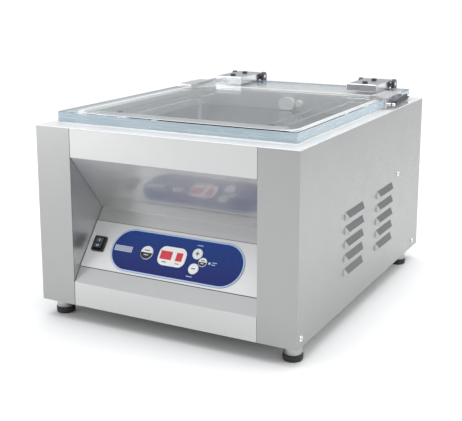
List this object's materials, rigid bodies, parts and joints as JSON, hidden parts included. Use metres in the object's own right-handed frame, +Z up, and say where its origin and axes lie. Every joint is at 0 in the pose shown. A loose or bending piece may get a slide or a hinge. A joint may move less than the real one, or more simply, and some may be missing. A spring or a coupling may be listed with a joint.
{
  "type": "vacuum chamber sealer",
  "caption": "Countertop vacuum chamber sealer with a clear hinged lid over a steel chamber, a lifting seal bar, louvred sides, a recessed sloping control panel and four feet.",
  "frame": {"origin": "on the table under the middle of the cabinet", "axes": "+X to the operator's right, +Y to the back where the lid is hinged, +Z up"},
  "size_m": [0.41, 0.52, 0.3115],
  "materials": {
    "stainless_sheet": "brushed stainless steel",
    "control_steel": "pale satin steel plate",
    "polished_steel": "polished stainless steel",
    "bright_steel": "turned bright steel",
    "dark_screw": "black oxide",
    "spring_steel": "oiled dark spring wire",
    "foot_rubber": "matt",
    "clear_acrylic": "clear, polished edges",
    "white_silicone": "satin",
    "hinge_aluminium": "fine milled and satin anodised",
    "bar_aluminium": "satin anodised",
    "fork_paint": "dark satin coat",
    "seal_band": "rolled resistance band",
    "ptfe_tape": "woven glass cloth coated in ptfe",
    "red_silicone": "satin",
    "white_plastic": "satin",
    "pad_blue": "satin film, lighter edge line",
    "display_red": "tinted filter",
    "key_plastic": "satin",
    "black_plastic": "fine texture",
    "circuit_board": "solder mask",
    "pump_iron": "grey enamel over cast skin",
    "motor_paint": "blue grey enamel",
    "shaft_steel": "ground",
    "sight_glass": "clear",
    "filter_paint": "gloss black",
    "valve_brass": "machined",
    "transformer_iron": "varnished laminations",
    "hose_rubber": "smooth"
  },
  "bodies": {
    "housing": {"base_tray": "stainless_sheet", "deck_plate": "stainless_sheet", "front_panel": "stainless_sheet", "side_panel_left": "stainless_sheet", "side_panel_right": "stainless_sheet", "recess_cheek_left": "stainless_sheet", "recess_cheek_right": "stainless_sheet", "rear_panel": "stainless_sheet", "chamber_tub": "stainless_sheet", "control_plate": "control_steel", "product_plate": "polished_steel", "panel_screws": "bright_steel", "foot_sleeves": "bright_steel", "hinge_pins": "bright_steel", "spring_posts": "bright_steel", "lift_springs": "spring_steel", "foot_rubbers": "foot_rubber", "lift_cylinders": "bar_aluminium", "hinge_bracket_left": "fork_paint", "hinge_bracket_right": "fork_paint", "suction_port_cap": "white_plastic", "sensor_port_cap": "white_plastic", "filler_plate": "white_plastic", "display_bezel": "white_plastic", "keypad_overlay": "pad_blue", "display_windows": "display_red", "switch_housing": "black_plastic", "power_inlet": "black_plastic", "fan_cowl": "black_plastic", "control_board": "circuit_board", "pump_housing": "pump_iron", "motor_housing": "motor_paint", "oil_sight_glass": "sight_glass", "exhaust_filter": "filter_paint", "valve_block": "valve_brass", "transformer": "transformer_iron", "vacuum_hose": "hose_rubber"},
    "lid": {"lid_panel": "clear_acrylic", "lid_gasket": "white_silicone", "counter_bar_holder": "bar_aluminium", "counter_bar_silicone": "red_silicone", "lid_strips": "clear_acrylic", "hinge_arm_left": "hinge_aluminium", "hinge_arm_right": "hinge_aluminium", "hinge_screws": "dark_screw", "spring_brackets": "bright_steel"},
    "sealing_bar": {"seal_bar": "bar_aluminium", "seal_wire": "seal_band", "seal_tape": "ptfe_tape", "lift_pistons": "bright_steel"},
    "rocker": {"switch_rocker": "black_plastic"},
    "motor_rotor": {"motor_shaft": "shaft_steel", "pump_rotor": "pump_iron", "cooling_fan": "black_plastic"},
    "key_program_cap": {"key_program": "key_plastic"},
    "key_plus_cap": {"key_plus": "key_plastic"},
    "key_minus_cap": {"key_minus": "key_plastic"},
    "key_start_cap": {"key_start": "key_plastic"}
  },
  "joints": [
    {"name": "lid_hinge", "type": "hinge", "parent": "housing", "child": "lid", "pos_m": [0, 0.25, 0.3025], "axis": [-1, 0, 0], "range_deg": [0, 60], "stiffness_Nm_per_rad": 4, "springref_deg": 74.48, "deforming": ["lift_springs"]},
    {"name": "seal_bar_lift", "type": "slide", "parent": "housing", "child": "sealing_bar", "axis": [0, 0, 1], "range_m": [0, 0.008]},
    {"name": "power_rocker", "type": "hinge", "parent": "housing", "child": "rocker", "pos_m": [-0.124, -0.22285, 0.10739], "axis": [1, 0, 0], "range_deg": [0, 14]},
    {"name": "motor_spin", "type": "hinge", "parent": "housing", "child": "motor_rotor", "pos_m": [0, 0.09, 0.101], "axis": [1, 0, 0], "continuous": true},
    {"name": "key_program_press", "type": "slide", "parent": "housing", "child": "key_program_cap", "axis": [0, 0.7912, -0.6115], "range_m": [0, 0.0006], "stiffness_N_per_m": 800},
    {"name": "key_plus_press", "type": "slide", "parent": "housing", "child": "key_plus_cap", "axis": [0, 0.7912, -0.6115], "range_m": [0, 0.0006], "stiffness_N_per_m": 800},
    {"name": "key_minus_press", "type": "slide", "parent": "housing", "child": "key_minus_cap", "axis": [0, 0.7912, -0.6115], "range_m": [0, 0.0006], "stiffness_N_per_m": 800},
    {"name": "key_start_press", "type": "slide", "parent": "housing", "child": "key_start_cap", "axis": [0, 0.7912, -0.6115], "range_m": [0, 0.0006], "stiffness_N_per_m": 800}
  ]
}
